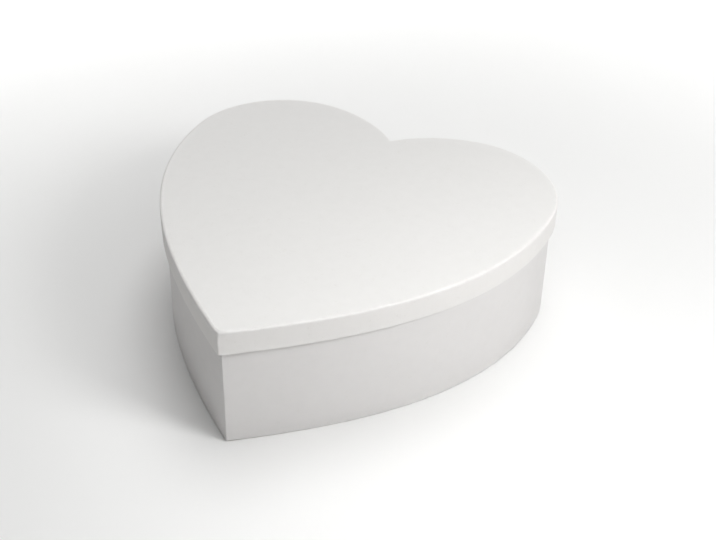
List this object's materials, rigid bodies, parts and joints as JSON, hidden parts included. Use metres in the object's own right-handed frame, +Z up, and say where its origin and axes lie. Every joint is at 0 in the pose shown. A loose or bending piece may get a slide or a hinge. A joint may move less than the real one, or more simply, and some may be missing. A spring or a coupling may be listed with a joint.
{
  "type": "heart-shaped papier-mache box",
  "caption": "White heart-shaped papier-mache box: a deep tray of thin pulp board with a shallow lift-off lid that slips over its rim.",
  "frame": {"origin": "on the underside of the tray, under the middle of the closed box", "axes": "+Z up, the tip of the heart towards -Y, the cleft between the lobes towards +Y, +X across the lobes"},
  "size_m": [0.26, 0.26, 0.085],
  "materials": {
    "base_paper": "matt white paper over pulp board",
    "lid_paper": "matt white paper over pulp board"
  },
  "bodies": {
    "root": {"base": "base_paper", "lid": "lid_paper"}
  },
  "joints": []
}
